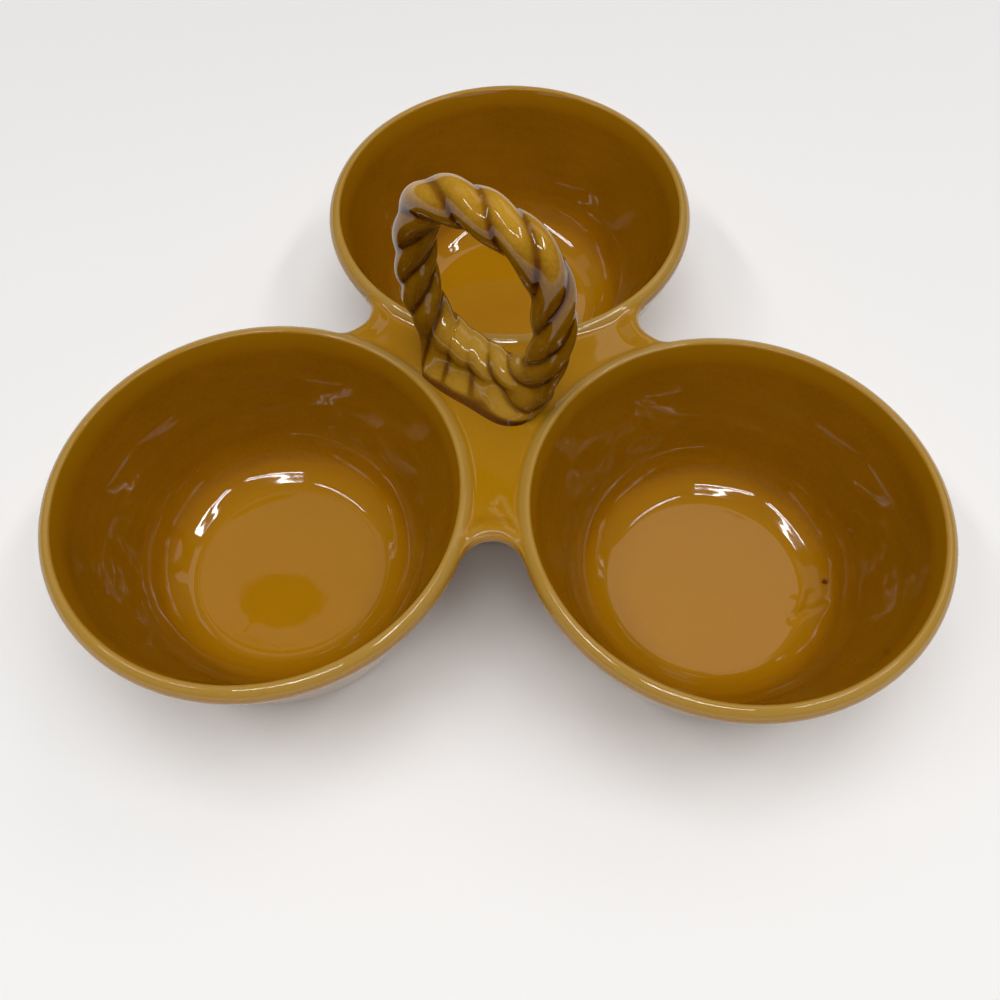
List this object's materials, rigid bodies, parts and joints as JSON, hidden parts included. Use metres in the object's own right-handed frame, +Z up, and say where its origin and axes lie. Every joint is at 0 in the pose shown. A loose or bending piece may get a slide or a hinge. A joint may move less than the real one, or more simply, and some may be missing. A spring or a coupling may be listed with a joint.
{
  "type": "divided serving bowl",
  "caption": "Round glazed bowls joined at their rims by a thin web, with an upright twisted rope loop in the middle to lift and pass snacks or relishes.",
  "frame": {"origin": "middle of the bounding box, on the surface the foot rings stand on", "axes": "+Z up, +X across the two front bowls from left to right, +Y to the back bowl"},
  "size_m": [0.2938, 0.2732, 0.1471],
  "materials": {
    "bowl_glaze": "glossy amber glaze over pale clay, thin and lighter at the rims",
    "rope_glaze": "glossy olive-amber glaze, pooled dark brown in the grooves"
  },
  "bodies": {
    "root": {"bowl_back": "bowl_glaze", "bowl_left": "bowl_glaze", "bowl_right": "bowl_glaze", "centre_web": "bowl_glaze", "handle_seat": "rope_glaze", "rope_strand_a": "rope_glaze", "rope_strand_b": "rope_glaze", "rope_strand_c": "rope_glaze"}
  },
  "joints": []
}
